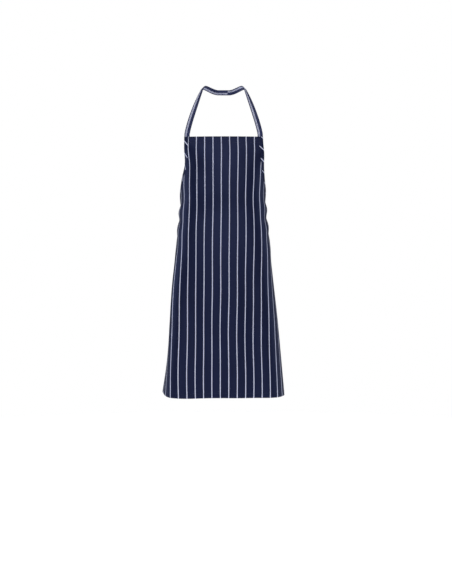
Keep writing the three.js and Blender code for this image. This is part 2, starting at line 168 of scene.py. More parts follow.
class StitchSizes(bpy.types.PropertyGroup):
    """Lockstitch rows and bar tacks."""

    pitch: bpy.props.FloatProperty(
        name="Pitch", description="From one stitch to the next", default=0.0032, unit="LENGTH")
    length: bpy.props.FloatProperty(
        name="Length", description="Visible length of one stitch", default=0.0028, unit="LENGTH")
    thread: bpy.props.FloatProperty(
        name="Thread", description="Width of the thread", default=0.00045, unit="LENGTH")


class Finishes(bpy.types.PropertyGroup):
    """Colours and the stripe."""

    navy: bpy.props.FloatVectorProperty(
        name="Navy", description="Ground colour of the twill",
        default=(0.0016, 0.0032, 0.0195), size=3, subtype="COLOR")
    # The tapes' ground colour is lighter than the panel's navy. The difference is painted sheen, standing in
    # for the sheen that the straps catch from the lamps.
    tape: bpy.props.FloatVectorProperty(
        name="Tape", description="Ground colour of the tapes",
        default=(0.02, 0.024, 0.07), size=3, subtype="COLOR")
    stripe: bpy.props.FloatVectorProperty(
        name="Stripe", description="Colour of the pinstripe",
        default=(0.77, 0.79, 0.98), size=3, subtype="COLOR")
    thread: bpy.props.FloatVectorProperty(
        name="Thread", description="Colour of the sewing thread",
        default=(0.022, 0.028, 0.075), size=3, subtype="COLOR")
    label: bpy.props.FloatVectorProperty(
        name="Label", description="Colour of the care label",
        default=(0.86, 0.86, 0.83), size=3, subtype="COLOR")
    stripe_pitch: bpy.props.FloatProperty(
        name="Stripe pitch", description="From one pinstripe to the next", default=0.0306, unit="LENGTH")
    stripe_width: bpy.props.FloatProperty(
        name="Stripe width", description="Width of a pinstripe", default=0.0031, unit="LENGTH")
    stripe_offset: bpy.props.FloatProperty(
        name="Stripe offset", description="From the centre line to the first pinstripe",
        default=-0.0086, unit="LENGTH")


class StageSizes(bpy.types.PropertyGroup):
    """Camera, floor and lights."""

    distance: bpy.props.FloatProperty(
        name="Camera distance", description="From the camera to the bib", default=4.575, unit="LENGTH")
    height: bpy.props.FloatProperty(
        name="Camera height", description="Height of the camera from the nape", default=-0.764, unit="LENGTH")
    aside: bpy.props.FloatProperty(
        name="Camera aside", description="The camera's distance from the centre line",
        default=0.009, unit="LENGTH")
    lens: bpy.props.FloatProperty(
        name="Lens", description="Focal length in millimetres", default=76.6)
    floor: bpy.props.FloatProperty(
        name="Floor", description="Height of the floor from the nape", default=-1.56, unit="LENGTH")


SETTINGS = {
    "apron_cloth": ClothSizes,
    "apron_tape": TapeSizes,
    "apron_stitch": StitchSizes,
    "apron_finish": Finishes,
    "apron_stage": StageSizes,
}


# ---- Shape of the worn cloth

def smooth(t):
    t = np.clip(t, 0, 1)
    return t * t * (3 - 2 * t)


def bump(place, middle, width):
    """A rounded hill, 1 at its middle."""
    return np.exp(-((place - middle) / width) ** 2)


def unit(vectors):
    return vectors / np.linalg.norm(vectors, axis=-1, keepdims=True)


def through(stations):
    """A smooth curve through (place, value) stations, straight past its ends."""
    places, values = np.array(stations, float).T
    index = np.arange(len(places))
    before, after = np.maximum(index - 1, 0), np.minimum(index + 1, len(places) - 1)
    slopes = (values[after] - values[before]) / (places[after] - places[before])

    def at(place):
        place = np.asarray(place, float)
        i = np.clip(np.searchsorted(places, place, side="right") - 1, 0, len(places) - 2)
        span = places[i + 1] - places[i]
        t = np.clip((place - places[i]) / span, 0, 1)
        rise = values[i + 1] - values[i]
        start, end = slopes[i] * span, slopes[i + 1] * span
        curve = values[i] + t * (start + t * (3 * rise - 2 * start - end + t * (start + end - 2 * rise)))
        low = slopes[0] * np.minimum(place - places[0], 0)
        high = slopes[-1] * np.maximum(place - places[-1], 0)
        return curve + low + high

    return at


front_y = through(FRONT_Y)
halves = {1: through(LEFT_HALF), -1: through(RIGHT_HALF)}
turns = {1: through(LEFT_TURN), -1: through(RIGHT_TURN)}
front_bow = through(FRONT_BOW_DEG)
back_turn_at = through(BACK_TURN_AT)


class Drape:
    """Carries a point of the flat cut to the worn cloth.

    Across is measured from the centre line, and down from the bib's top edge.
    """

    def __init__(self, cloth):
        self.half = cloth.panel_width / 2
        self.length = cloth.panel_length
        self.armhole_depth = cloth.armhole_depth
        self.widening = self.half - cloth.bib_width / 2
        self.half_bib = cloth.bib_width / 2

    def heading(self, far, flat, turn, bow, back_turn):
        """The way the cloth runs at a distance from the centre line: 0 is across, a quarter turn is back."""
        side = (math.pi / 2 - bow) * smooth((far - flat) / turn)
        back = math.pi / 2 * smooth((far - back_turn) / BACK_TURN)
        return bow * np.minimum(far / flat, 1) + side + back

    def plain(self, across, down):
        """The cloth without its folds."""
        side, far = np.where(across < 0, -1, 1), np.abs(across)
        steps = 100
        flat = np.where(across < 0, halves[-1](down), halves[1](down))
        turn = np.where(across < 0, turns[-1](down), turns[1](down))
        bow, back_turn = np.radians(front_bow(down)), back_turn_at(down)
        x, y = np.zeros_like(far), front_y(down)
        for i in range(steps):
            angle = self.heading((i + 0.5) / steps * far, flat, turn, bow, back_turn)
            x = x + np.cos(angle) * far / steps
            y = y + np.sin(angle) * far / steps
        lift = np.where(
            across < 0,
            RIGHT_HEM_LIFT * smooth((far - 0.185) / 0.1) - RIGHT_HEM_DIP * bump(far, 0.13, 0.06),
            LEFT_HEM_LIFT * smooth((far - 0.18) / 0.16))
        lower = np.maximum(0, (down - self.armhole_depth) / (self.length - self.armhole_depth))
        return np.stack((side * x, y, BIB_TOP_Z - down + (lift + HEM_LIFT) * lower), -1)

    def folds(self, across, down):
        """How far the soft folds stand out."""
        far = np.abs(across)
        skirt = smooth((down - 0.3) / 0.4)
        swing = 0.5 * np.sin(5 * down)
        long_folds = LONG_FOLD * np.cos(2 * math.pi * (across - 0.02 * skirt) / 0.215 + swing)
        wander = 1.1 + 0.8 * np.sin(4 * down + 1)
        short_folds = SHORT_FOLD * np.cos(2 * math.pi * (across + 0.055) / 0.118 + wander)
        bib = smooth(down / 0.05) * (1 - smooth((down - 0.26) / 0.12)) * bump(far, 0.105, 0.045)
        bib_waves = BIB_WAVE * np.sin(2 * math.pi * down / 0.17 + np.where(across < 0, 0.4, 2.1))
        reach = np.hypot(self.half - far, down - TIE_DOWN)
        spread = np.arctan2(down - TIE_DOWN, self.half - far + 0.02)
        pull = bump(reach, 0.13, 0.07) * TIE_PULL * np.cos(15 * spread + np.where(across < 0, 0.3, 1.4))
        calm = smooth((reach - 0.03) / 0.05)
        return calm * (skirt * (long_folds + short_folds) + bib * bib_waves + pull)

    def sway(self, across, down):
        """How far the cloth slips sideways."""
        skirt = smooth((down - 0.36) / 0.2)
        wave = 0.0009 * np.sin(14 * down + 9 * across) + 0.0007 * np.sin(23 * down - 14 * across + 1.3)
        return -0.0032 * skirt + wave * smooth(down / 0.06)

    def outward(self, across, down):
        reach = 0.0006
        right = self.plain(across + reach, down) - self.plain(across - reach, down)
        below = self.plain(across, down + reach) - self.plain(across, down - reach)
        return unit(np.cross(below, right))

    def place(self, across, down, out=0.0):
        """Where the point of the cut is, at a distance outward from the middle of the cloth."""
        across, down, out = np.broadcast_arrays(*(np.asarray(v, float) for v in (across, down, out)))
        stands = (out + self.folds(across, down))[..., None]
        points = self.plain(across, down) + self.outward(across, down) * stands
        points[..., 0] += self.sway(across, down) * (1 - smooth((np.abs(across) - 0.17) / 0.1))
        return points

    def armhole(self, share):
        """The armhole's edge, from the bib's corner (0) to the side corner (1), and its inward direction."""
        angle = np.asarray(share) * math.pi / 2
        across = self.half - self.widening * np.cos(angle)
        down = self.armhole_depth * np.sin(angle)
        inward = np.stack((-self.armhole_depth * np.cos(angle), self.widening * np.sin(angle)), -1)
        return across, down, unit(inward)


def over_side_hem(cloth, far):
    """1 where the foot's hem lies on a side hem, by the distance from the centre line."""
    return smooth((far - (cloth.panel_width / 2 - cloth.side_hem - 0.005)) / 0.004)


def over_hem(cloth, across, down):
    """1 where the binding crosses the bib's hem or a side hem."""
    top = 1 - smooth((down - cloth.top_hem) / 0.004)
    side = smooth((across - (cloth.panel_width / 2 - cloth.side_hem - 0.002)) / 0.003)
    return np.maximum(top, side)


# ---- Meshes

def piece(name, points, faces, uvs=None, material=None):
    """A mesh object at the origin. uvs holds one (across, along) per corner of each face, in metres."""
    mesh = bpy.data.meshes.new(name)
    mesh.from_pydata(np.asarray(points).reshape(-1, 3).tolist(), [], [list(map(int, f)) for f in faces])
    if uvs is not None:
        layer = mesh.uv_layers.new(name="cloth")
        layer.data.foreach_set("uv", np.asarray(uvs, np.float32).ravel())
    mesh.validate()
    mesh.shade_smooth()
    if material:
        mesh.materials.append(material)
    built = bpy.data.objects.new(name, mesh)
    bpy.context.scene.collection.objects.link(built)
    return built


def sheet_faces(rows, columns):
    """Quads of a grid of points."""
    j, i = np.meshgrid(np.arange(rows - 1), np.arange(columns - 1), indexing="ij")
    a = j * columns + i
    return np.stack((a, a + columns, a + columns + 1, a + 1), -1).reshape(-1, 4)


def loft(name, rings, uvs, material, closed_path=False):
    """A closed solid through rings of points. Each ring of uvs has one more entry than its ring of points."""
    rings, uvs = np.asarray(rings, float), np.asarray(uvs, float)
    count, size = rings.shape[:2]
    faces, corners = [], []
    last = count if closed_path else count - 1
    for i in range(last):
        j = (i + 1) % count
        for k in range(size):
            n = (k + 1) % size
            faces.append((i * size + k, i * size + n, j * size + n, j * size + k))
            corners += [uvs[i][k], uvs[i][k + 1], uvs[i + 1][k + 1], uvs[i + 1][k]]
    if not closed_path:
        faces.append(tuple(range(size))[::-1])
        corners += list(uvs[0][:size][::-1])
        faces.append(tuple(range((count - 1) * size, count * size)))
        corners += list(uvs[-1][:size])
    if volume(rings.reshape(-1, 3), faces) < 0:
        faces = [f[::-1] for f in faces]
        corners = turned_corners(corners, faces)
    return piece(name, rings, faces, corners, material)


def turned_corners(corners, faces):
    turned, start = [], 0
    for face in faces:
        turned += corners[start:start + len(face)][::-1]
        start += len(face)
    return turned


def volume(points, faces):
    total = 0.0
    for face in faces:
        first = points[face[0]]
        for b, c in zip(face[1:-1], face[2:]):
            total += np.dot(first, np.cross(points[b], points[c]))
    return total


# Across half a tape, as shares of its half width. They crowd at the edge, where the stitches pinch it.
TAPE_SHARES = np.array((0, 0.2, 0.4, 0.58, 0.7, 0.78, 0.86, 0.94, 0.985))
STITCH_INSET = 0.0022
TAPE_STEP = 0.003


def tape(name, middle, along, out, size, material, gather=None, closed_path=False):
    """A flat folded tape. gather is its gathered width at each station, for tapes that the knot takes in."""
    width, thick = size.width, size.thickness
    along, out = unit(along), unit(out)
    wide = unit(np.cross(out, along))
    out = np.cross(along, wide)
    shares = np.concatenate((-TAPE_SHARES[:0:-1], TAPE_SHARES))
    across = shares * width / 2
    pinch = 1 - 0.4 * bump(np.abs(across), width / 2 - STITCH_INSET, 0.0006)
    crown = np.sqrt(np.clip(1 - np.abs(shares) ** 14, 0.15, 1)) * pinch * thick / 2
    share = np.ones(len(middle)) if gather is None else np.asarray(gather) / width
    ripple = share * width / (3 * math.pi) * np.sqrt(2 * (1 / share ** 2 - 1)) * 0.75
    wave = ripple[:, None] * np.cos(3 * math.pi * shares)[None, :]
    span = across[None, :] * share[:, None]
    top = middle[:, None] + wide[:, None] * span[..., None] + out[:, None] * (wave + crown)[..., None]
    under = middle[:, None] + wide[:, None] * span[..., None] + out[:, None] * (wave - crown)[..., None]
    rings = np.concatenate((top, under[:, ::-1]), 1)
    run = np.concatenate(((0,), np.cumsum(np.linalg.norm(np.diff(middle, axis=0), axis=1))))
    if closed_path:
        run = np.append(run, run[-1] + np.linalg.norm(middle[0] - middle[-1]))
    place = width / 2 - np.concatenate((across, across[::-1], across[:1]))
    uvs = np.stack(np.meshgrid(place, run), -1)
    return loft(name, rings, uvs, material, closed_path)


def tape_edges(middle, along, out, size, gather=None):
    """The four stitch rows of a tape, as (points, facing): both edges on both faces."""
    along, out = unit(along), unit(out)
    wide = unit(np.cross(out, along))
    out = np.cross(along, wide)
    share = np.ones(len(middle)) if gather is None else np.asarray(gather) / size.width
    edge = (size.width / 2 - STITCH_INSET) * share
    lift = size.thickness / 2 * 0.6 + 0.0001
    keep = share > 0.98
    rows = []
    for side in (1, -1):
        for face in (1, -1):
            points = middle + wide * (side * edge)[:, None] + out * (face * lift)
            rows.append((points[keep], (out * face)[keep]))
    return rows


def spaced(points, step):
    """Points at even distances along a line of close points."""
    run = np.concatenate(((0,), np.cumsum(np.linalg.norm(np.diff(points, axis=0), axis=1))))
    count = max(2, int(round(run[-1] / step)) + 1)
    places = np.linspace(0, run[-1], count)
    return np.stack([np.interp(places, run, points[:, k]) for k in range(3)], -1)


def bezier(a, b, c, d, count=80):
    t = np.linspace(0, 1, count)[:, None]
    return (1 - t) ** 3 * a + 3 * (1 - t) ** 2 * t * b + 3 * (1 - t) * t ** 2 * c + t ** 3 * d


def curve_through(points, count=200):
    points = np.asarray(points, float)
    places = np.concatenate(((0,), np.cumsum(np.sqrt(np.linalg.norm(np.diff(points, axis=0), axis=1)))))
    t = np.linspace(0, places[-1], count)
    return np.stack([through(list(zip(places, points[:, k])))(t) for k in range(3)], -1)


def tangents(points):
    return unit(np.gradient(points, axis=0))


# ---- Stitches, by Geometry Nodes

def stitch_tree():
    """Lays one stitch after another along the lines of a mesh, turned to the facing that its points hold."""
    if "Lockstitch row" in bpy.data.node_groups:
        return bpy.data.node_groups["Lockstitch row"]
    tree = bpy.data.node_groups.new("Lockstitch row", "GeometryNodeTree")
    tree.interface.new_socket("Seam", in_out="INPUT", socket_type="NodeSocketGeometry")
    sizes = {"Pitch": 0.0032, "Stitch length": 0.0028, "Thread width": 0.00045, "Slant": 0.06}
    for name, value in sizes.items():
        tree.interface.new_socket(name, in_out="INPUT", socket_type="NodeSocketFloat").default_value = value
    tree.interface.new_socket("Thread", in_out="INPUT", socket_type="NodeSocketMaterial")
    tree.interface.new_socket("Stitches", in_out="OUTPUT", socket_type="NodeSocketGeometry")

    def node(kind, settings=(), **sockets):
        made = tree.nodes.new(kind)
        for key, value in settings:
            setattr(made, key, value)
        for key, value in sockets.items():
            socket = made.inputs[key.replace("_", " ")]
            if isinstance(value, bpy.types.NodeSocket):
                tree.links.new(value, socket)
            else:
                socket.default_value = value
        return made

    given = node("NodeGroupInput").outputs
    line = node("GeometryNodeMeshToCurve", Mesh=given["Seam"])
    even = node(
        "GeometryNodeResampleCurve", (("mode", "LENGTH"),), Curve=line.outputs[0], Length=given["Pitch"])
    ball = node("GeometryNodeMeshUVSphere", Segments=6, Rings=4, Radius=0.5)
    width = given["Thread width"]
    scale = node("ShaderNodeCombineXYZ", X=given["Stitch length"], Y=width, Z=width)
    thread = node("GeometryNodeTransform", Geometry=ball.outputs["Mesh"], Scale=scale.outputs[0])
    run = node("GeometryNodeInputTangent")
    facing = node("GeometryNodeInputNamedAttribute", (("data_type", "FLOAT_VECTOR"),), Name="facing")
    along = node("FunctionNodeAlignRotationToVector", (("axis", "X"),), Vector=run.outputs[0])
    upright = node(
        "FunctionNodeAlignRotationToVector", (("axis", "Z"), ("pivot_axis", "X")),
        Rotation=along.outputs[0], Vector=facing.outputs["Attribute"])
    lean = node("FunctionNodeRandomValue", (("data_type", "FLOAT"),), Seed=7)
    tree.links.new(given["Slant"], lean.inputs[3])
    turn = node("ShaderNodeCombineXYZ", Z=lean.outputs[1])
    slanted = node("FunctionNodeRotateRotation", (("rotation_space", "LOCAL"),), Rotation=upright.outputs[0])
    tree.links.new(turn.outputs[0], slanted.inputs[1])
    laid = node(
        "GeometryNodeInstanceOnPoints", Points=even.outputs[0], Instance=thread.outputs[0],
        Rotation=slanted.outputs[0])
    real = node("GeometryNodeRealizeInstances", Geometry=laid.outputs[0])
    smooth_shade = node("GeometryNodeSetShadeSmooth", Geometry=real.outputs[0])
    finished = node("GeometryNodeSetMaterial", Geometry=smooth_shade.outputs[0], Material=given["Thread"])
    tree.links.new(finished.outputs[0], node("NodeGroupOutput").inputs[0])
    return tree


def stitched(name, rows, material, pitch=None, length=None, width=None):
    """Stitches along rows of (points, facing), as one plain mesh."""
    sizes = bpy.context.scene.apron_stitch
    points = np.concatenate([r[0] for r in rows])
    facing = np.concatenate([r[1] for r in rows])
    edges, start = [], 0
    for row, _ in rows:
        edges += [(start + i, start + i + 1) for i in range(len(row) - 1)]
        start += len(row)
    mesh = bpy.data.meshes.new(name + "_line")
    mesh.from_pydata(points.tolist(), edges, [])
    held = mesh.attributes.new("facing", "FLOAT_VECTOR", "POINT")
    held.data.foreach_set("vector", facing.astype(np.float32).ravel())
    seam = bpy.data.objects.new(name + "_line", mesh)
    bpy.context.scene.collection.objects.link(seam)
    modifier = seam.modifiers.new("Lockstitch row", "NODES")
    modifier.node_group = stitch_tree()
    values = {
        "Pitch": pitch or sizes.pitch, "Stitch length": length or sizes.length,
        "Thread width": width or sizes.thread, "Thread": material,
    }
    for item in modifier.node_group.interface.items_tree:
        if item.in_out == "INPUT" and item.name in values:
            modifier[item.identifier] = values[item.name]
    graph = bpy.context.evaluated_depsgraph_get()
    plain = bpy.data.meshes.new_from_object(
        seam.evaluated_get(graph), preserve_all_data_layers=True, depsgraph=graph)
    bpy.data.objects.remove(seam)
    if not plain.vertices:
        raise RuntimeError(f"{name}: no stitch was laid")
    plain.name = name
    row = bpy.data.objects.new(name, plain)
    bpy.context.scene.collection.objects.link(row)
    return row


# ---- Materials

class Value:
    """A socket of a shader tree, so that maths on it is written as Python expressions."""

    def __init__(self, finish, socket):
        self.finish, self.socket = finish, socket

    def math(self, operation, *values):
        return self.finish.node("ShaderNodeMath", {"operation": operation}, dict(enumerate(values)))

    def __add__(self, other):
        return self.math("ADD", self, other)

    def __radd__(self, other):
        return self.math("ADD", other, self)

    def __sub__(self, other):
        return self.math("SUBTRACT", self, other)

    def __rsub__(self, other):
        return self.math("SUBTRACT", other, self)

    def __mul__(self, other):
        return self.math("MULTIPLY", self, other)

    def __rmul__(self, other):
        return self.math("MULTIPLY", other, self)

    def __mod__(self, other):
        return self.math("FLOORED_MODULO", self, other)

    def __abs__(self):
        return self.math("ABSOLUTE", self)

    def sin(self):
        return self.math("SINE", self)

    def fade(self, low, high, start=0.0, end=1.0):
        """Goes smoothly from start to end as the value goes from low to high."""
        return self.finish.node(
            "ShaderNodeMapRange", {"interpolation_type": "SMOOTHSTEP"},
            {"Value": self, "From Min": low, "From Max": high, "To Min": start, "To Max": end})


class Finish:
    """A material with one Principled shader."""

    def __init__(self, name, **constants):
        self.material = bpy.data.materials.new(name)
        self.material.use_nodes = True
        self.tree = self.material.node_tree
        self.tree.nodes.clear()
        self.shader = self.tree.nodes.new("ShaderNodeBsdfPrincipled")
        output = self.tree.nodes.new("ShaderNodeOutputMaterial")
        self.tree.links.new(self.shader.outputs[0], output.inputs[0])
        for key, value in constants.items():
            self.shader.inputs[key.replace("_", " ")].default_value = value

    def node(self, kind, settings, sockets, output=0):
        """A node of any kind: its settings are set first, then the values or links of its sockets."""
        made = self.tree.nodes.new(kind)
        for key, value in settings.items():
            setattr(made, key, value)
        for key, value in sockets.items():
            self.feed(made.inputs[key], value)
        return Value(self, made.outputs[output])

    def feed(self, socket, value):
        if isinstance(value, Value):
            self.tree.links.new(value.socket, socket)
        else:
            socket.default_value = value

    def blend(self, share, first, second):
        """A colour that goes from first to second."""
        return self.node(
            "ShaderNodeMix", {"data_type": "RGBA"}, {0: share, 6: first, 7: second}, output=2)

    def noise(self, place, scale, detail, roughness=0.5):
        sockets = {"Vector": place, "Scale": scale, "Detail": detail, "Roughness": roughness}
        return self.node("ShaderNodeTexNoise", {}, sockets)

    def scaled(self, colour, share):
        return self.node("ShaderNodeVectorMath", {"operation": "SCALE"}, {0: colour, 3: share})

    def surface(self, **varying):
        for key, value in varying.items():
            self.feed(self.shader.inputs[key.replace("_", " ")], value)
        return self.material


def cloth_place(finish):
    """Where a point lies on the cut, across and along, in millimetres."""
    uv = finish.node("ShaderNodeUVMap", {"uv_map": "cloth"}, {})
    across = finish.node("ShaderNodeSeparateXYZ", {}, {0: uv}, output=0)
    along = Value(finish, across.socket.node.outputs[1])
    return across * 1000.0, along * 1000.0


def line_mask(position, centre, width, soft=0.35):
    """1 on a line of the cloth, 0 beside it."""
    return abs(position - centre).fade(width / 2 - soft, width / 2 + soft, 1.0, 0.0)


def pucker(run, pitch, wander):
    """Waves along a stitched hem, in millimetres, at a pitch that wanders a little."""
    return (run * (2 * math.pi / pitch) + (run * wander).sin()).sin()


def twill_surface(finish, across, along, stripe, ground, puckers=None):
    """The finish of striped twill, where stripe is 1 on the white yarns."""
    colours = bpy.context.scene.apron_finish
    place = finish.node("ShaderNodeCombineXYZ", {}, {0: across, 1: along})
    drawn_out = finish.node(
        "ShaderNodeVectorMath", {"operation": "MULTIPLY"}, {0: place, 1: (1.3, 0.09, 1.0)})
    slub = finish.noise(drawn_out, 1.0, 3.0, 0.6)
    cloud = finish.noise(place, 0.012, 4.0, 0.55)
    fuzz = finish.noise(place, 1.9, 2.0, 0.7)
    rib = ((across + along * 0.55) * (2 * math.pi / 0.85)).sin()
    yarn = (along * (2 * math.pi / 0.5)).sin()
    white = stripe * fuzz.fade(0.25, 0.62, 0.72, 1.0)
    shade = slub * 0.35 + cloud * 0.5 + rib * 0.05 + 0.58
    navy = finish.scaled(tuple(ground), shade)
    pale = finish.scaled(tuple(colours.stripe), cloud * 0.25 + rib * 0.04 + 0.87)
    height = rib * 0.5 + yarn * 0.22 + slub * 0.6 + stripe * 0.35
    weave = finish.node(
        "ShaderNodeBump", {}, {"Strength": 0.5, "Distance": 0.00012, "Height": height})
    if puckers is not None:
        weave = finish.node(
            "ShaderNodeBump", {}, {"Strength": 0.6, "Distance": 0.0006, "Height": puckers, "Normal": weave})
    rough = fuzz * 0.08 + 0.49
    return finish.surface(Base_Color=finish.blend(white, navy, pale), Roughness=rough, Normal=weave)


def cloth_finish(name):
    return Finish(name, Specular_IOR_Level=0.52, Specular_Tint=(0.4, 0.48, 1, 1))


def panel_twill():
    """Pinstripes run down the cloth. The hems pucker along their stitches."""
    sizes, cloth = bpy.context.scene.apron_finish, bpy.context.scene.apron_cloth
    finish = cloth_finish("Pinstriped twill")
    across, along = cloth_place(finish)
    pitch, width = sizes.stripe_pitch * 1000, sizes.stripe_width * 1000
    from_stripe = (across - (sizes.stripe_offset * 1000 - pitch / 2)) % pitch
    stripe = line_mask(from_stripe, pitch / 2, width)
    below = cloth.panel_length * 1000 - along
    beside = cloth.panel_width * 500 - abs(across)
    foot = line_mask(below, cloth.bottom_hem * 1000 - 2, 7.0, 3.0) * pucker(across, 7.5, 0.31)
    top = line_mask(along, cloth.top_hem * 1000 - 2, 6.0, 2.5) * pucker(across, 8.3, 0.23)
    side = line_mask(beside, cloth.side_hem * 1000 - 2, 6.0, 2.5) * pucker(along, 7.9, 0.27)
    return twill_surface(finish, across, along, stripe, sizes.navy, (foot + top + side) * 0.5)


def bias_twill():
    """The same cloth cut on the bias, so that its stripes cross the binding at 45 degrees."""
    sizes = bpy.context.scene.apron_finish
    finish = cloth_finish("Bias binding")
    across, along = cloth_place(finish)
    slant = math.sqrt(0.5)
    pitch, width = sizes.stripe_pitch * 1000, sizes.stripe_width * 1000
    grain = (along + across) * slant
    stripe = line_mask((grain + 23.3) % pitch, pitch / 2, width)
    return twill_surface(finish, grain, (along - across) * slant, stripe, sizes.navy)


def tape_twill():
    """The tape is folded so that two pinstripes run beside its edge."""
    finish = cloth_finish("Folded tape")
    across, along = cloth_place(finish)
    near, far = (line_mask(across, middle, width, 0.2) for middle, width in TAPE_STRIPES)
    # The tape's ground colour holds painted sheen: it is lighter than the panel's navy to stand in for the
    # straps' sheen.
    return twill_surface(finish, across, along, near + far, bpy.context.scene.apron_finish.tape)


def sewing_thread():
    sizes = bpy.context.scene.apron_finish
    finish = Finish("Sewing thread", Specular_IOR_Level=0.4, Sheen_Weight=0.2)
    place = finish.node("ShaderNodeTexCoord", {}, {}, output=3)
    lustre = finish.noise(place, 900.0, 2.0)
    ply = finish.node("ShaderNodeTexWave", {"bands_direction": "DIAGONAL"}, {"Vector": place, "Scale": 700.0})
    twist = finish.node("ShaderNodeBump", {}, {"Strength": 0.4, "Distance": 0.0001, "Height": ply})
    colour = finish.scaled(tuple(sizes.thread), lustre * 0.7 + 0.65)
    return finish.surface(Base_Color=colour, Roughness=lustre * 0.2 + 0.45, Normal=twist)


def label_satin():
    sizes = bpy.context.scene.apron_finish
    finish = Finish("Label satin", Specular_IOR_Level=0.5, Sheen_Weight=0.1)
    across, along = cloth_place(finish)
    satin = (across * (2 * math.pi / 0.4)).sin() * 0.5 + (along * (2 * math.pi / 1.1)).sin() * 0.2
    place = finish.node("ShaderNodeCombineXYZ", {}, {0: across, 1: along})
    cloud = finish.noise(place, 0.15, 3.0)
    weave = finish.node("ShaderNodeBump", {}, {"Strength": 0.3, "Distance": 0.0001, "Height": satin})
    colour = finish.scaled(tuple(sizes.label), cloud * 0.12 + 0.92)
    return finish.surface(Base_Color=colour, Roughness=cloud * 0.2 + 0.32, Normal=weave)


def made_once(name, maker):
    return bpy.data.materials.get(name) or maker()


# ---- Where the tapes run

def tie_down(scene):
    return scene.apron_cloth.armhole_depth + scene.apron_tape.width / 2 + 0.003


def neck_route(scene, side):
    """A neck tape from its sewn end to the nape, laid out on the left: middle, direction and face."""
    drape, size = Drape(scene.apron_cloth), scene.apron_tape
    across = drape.half_bib - size.inset
    down = np.linspace(size.neck_sewn, 0, 12)
    sewn = drape.place(np.full_like(down, side * across), down, -BEHIND_CLOTH) * (side, 1, 1)
    corner = sewn[-1]
    fold = corner + (0, 0, FOLD_RISE)
    start = fold + (0, 0, 0.002)
    nape = np.array((size.lap * 2 / 3, NAPE_BEHIND[side], 0))
    lap_end = np.array((-size.lap / 2, NAPE_BEHIND[side], 0))
    rise = bezier(start, start + (-0.008, 0.004, 0.05), SHOULDER + (0.013, -0.054, -0.04), SHOULDER)
    round_neck = bezier(SHOULDER, SHOULDER + (-0.006, 0.025, 0.014), nape + (0.024, 0, 0), nape)
    free = np.concatenate((rise[:-1], round_neck[:-1], (nape, lap_end)))
    free = spaced(free, TAPE_STEP)
    lap_start = 1 - size.lap * 7 / 6 / (TAPE_STEP * (len(free) - 1))
    share = np.minimum(np.linspace(0, 1, len(free)) / lap_start, 1)
    faces = (
        (0, -1, 0), (0.1, -0.95, 0.25), (0.3, -0.75, 0.6), (0.48, -0.2, 0.86), (0.4, 0.6, 0.7),
        (0, 1, 0))
    stations = np.linspace(0, 1, len(faces))
    turn = np.stack([through(list(zip(stations, axis)))(share) for axis in zip(*faces)], -1)
    middle = np.concatenate((sewn, fold[None], free))
    sewn_face = drape.outward(np.full_like(down, across), down)
    out = np.concatenate((sewn_face, ((0, -1, 0),), turn))
    along = tangents(middle)
    flip = (side, 1, 1)
    return middle * flip, along * flip, out * flip


def waist_route(scene, side):
    """A waist tie from its sewn end behind the side corner to the knot."""
    drape, size = Drape(scene.apron_cloth), scene.apron_tape
    far = np.arange(drape.half - size.waist_sewn, drape.half + 0.13, TAPE_STEP)
    middle = drape.place(side * far, np.full_like(far, tie_down(scene)), -BEHIND_CLOTH)
    middle = middle[np.abs(middle[:, 0]) > 0.006]
    count = len(middle)
    out = drape.outward(side * far[:count], np.full(count, tie_down(scene)))
    taken_in = smooth((0.034 - np.abs(middle[:, 0])) / 0.026)
    gather = size.width - (size.width - size.gathered - 0.003) * taken_in
    return middle, tangents(middle), out, gather


def knot_middle():
    low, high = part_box("waist_bow_knot")
    return (np.array(low) + np.array(high)) / 2


def gathered(size, distance):
    return size.gathered + (size.width - size.gathered) * smooth(distance / 0.04)


def loop_route(scene, side):
    size = scene.apron_tape
    root, length = KNOT[0] - 0.004, size.loop + 0.004
    far = root + length
    points = (
        (root, 0.002, 0), (root + 0.3 * length, 0.0024, -0.005), (root + 0.7 * length, 0.003, -0.018),
        (far - 0.005, 0.007, -0.027), (far, 0.013, -0.03), (far - 0.006, 0.019, -0.03),
        (root + 0.7 * length, 0.021, -0.022), (root + 0.3 * length, 0.015, -0.008), (root, 0.005, 0))
    middle = spaced(curve_through(points), 0.0025)
    along = tangents(middle)
    out = np.cross(along, (0.15, 0, 1))
    flip = (side, 1, 1)
    gather = gathered(size, middle[:, 0] - root - 0.004)
    return middle * flip + knot_middle(), along * flip, out * flip, gather


def tail_route(scene, side):
    size = scene.apron_tape
    root = KNOT[2] - 0.003
    length = size.tail + 0.003
    middle = spaced(bezier(
        np.array((0.0041, 0, -root)), np.array((0.022, 0, -root - 0.12 * length)),
        np.array((0.036, 0.001, -root - 0.6 * length)), np.array((0.032, 0.002, -root - 0.99 * length))),
        TAPE_STEP)
    run = np.linspace(0, 1, len(middle))
    out = np.stack((0.3 * np.sin(2.6 * run + side), np.ones_like(run), 0 * run), -1)
    flip = (side, 1, 1)
    return middle * flip + knot_middle(), tangents(middle) * flip, out, gathered(size, -root - middle[:, 2])


def sewn_tape(name, stitches_name, route, *nodes):
    """A tape on its route, in place of the frame's nodes, and the stitches along its edges."""
    size, (middle, along, out, *gather) = bpy.context.scene.apron_tape, route
    made = tape(name, middle, along, out, size, made_once("Folded tape", tape_twill), *gather)
    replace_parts(made, *nodes)
    rows = tape_edges(middle, along, out, size, *gather)
    stitches = stitched(stitches_name, rows, made_once("Sewing thread", sewing_thread))
    return made, stitches


# ---- Operators

